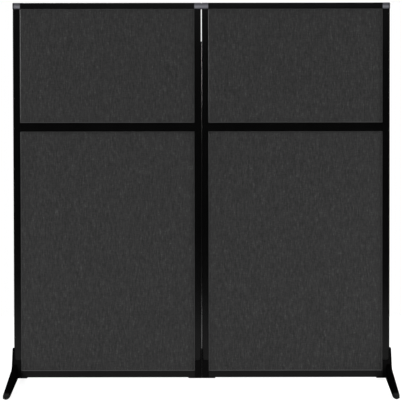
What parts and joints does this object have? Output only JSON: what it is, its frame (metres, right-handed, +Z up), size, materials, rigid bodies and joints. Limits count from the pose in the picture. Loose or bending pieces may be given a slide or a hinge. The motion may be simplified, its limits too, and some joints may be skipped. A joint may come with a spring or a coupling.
{
  "type": "office partition",
  "caption": "Free-standing folding screen of hinged framed panels with fabric infills over a mid rail, on splayed end feet.",
  "frame": {"origin": "on the floor, at the middle of the unfolded partition's footprint", "axes": "+X to the right along the panels, +Y from the front face to the rear, +Z up"},
  "size_m": [1.756, 0.55, 1.778],
  "materials": {
    "frame_black": "satin",
    "cap_plastic": "gloss",
    "shoe_plastic": "matte",
    "charcoal_fabric": "matte",
    "board_core": "matte",
    "gasket_rubber": "satin",
    "foot_black": "satin",
    "tip_rubber": "matte",
    "hinge_black": "satin",
    "screw_steel": "black oxide",
    "connector_metal": "mill"
  },
  "bodies": {
    "left_panel": {"left_outer_post": "frame_black", "left_inner_post": "frame_black", "left_top_rail": "frame_black", "left_mid_rail": "frame_black", "left_bottom_rail": "frame_black", "left_mid_rail_connectors": "connector_metal", "left_bottom_rail_connectors": "connector_metal", "left_outer_top_cap": "cap_plastic", "left_inner_top_cap": "cap_plastic", "left_outer_shoe": "shoe_plastic", "left_inner_shoe": "shoe_plastic", "left_upper_board": "board_core", "left_lower_board": "board_core", "left_upper_front_fabric": "charcoal_fabric", "left_upper_rear_fabric": "charcoal_fabric", "left_lower_front_fabric": "charcoal_fabric", "left_lower_rear_fabric": "charcoal_fabric", "left_upper_gasket": "gasket_rubber", "left_lower_gasket": "gasket_rubber", "left_foot": "foot_black", "left_foot_tips": "tip_rubber", "left_foot_bolts": "screw_steel", "left_nut_plate": "connector_metal", "left_hinge_leaf": "hinge_black", "hinge_pin": "hinge_black"},
    "right_panel": {"right_outer_post": "frame_black", "right_inner_post": "frame_black", "right_top_rail": "frame_black", "right_mid_rail": "frame_black", "right_bottom_rail": "frame_black", "right_mid_rail_connectors": "connector_metal", "right_bottom_rail_connectors": "connector_metal", "right_outer_top_cap": "cap_plastic", "right_inner_top_cap": "cap_plastic", "right_outer_shoe": "shoe_plastic", "right_inner_shoe": "shoe_plastic", "right_upper_board": "board_core", "right_lower_board": "board_core", "right_upper_front_fabric": "charcoal_fabric", "right_upper_rear_fabric": "charcoal_fabric", "right_lower_front_fabric": "charcoal_fabric", "right_lower_rear_fabric": "charcoal_fabric", "right_upper_gasket": "gasket_rubber", "right_lower_gasket": "gasket_rubber", "right_foot": "foot_black", "right_foot_tips": "tip_rubber", "right_foot_bolts": "screw_steel", "right_nut_plate": "connector_metal", "right_hinge_leaf": "hinge_black"}
  },
  "joints": [
    {"name": "panel_fold", "type": "hinge", "parent": "left_panel", "child": "right_panel", "pos_m": [0, -0.019, 0.97], "axis": [0, 0, -1], "range_deg": [0, 140]}
  ]
}
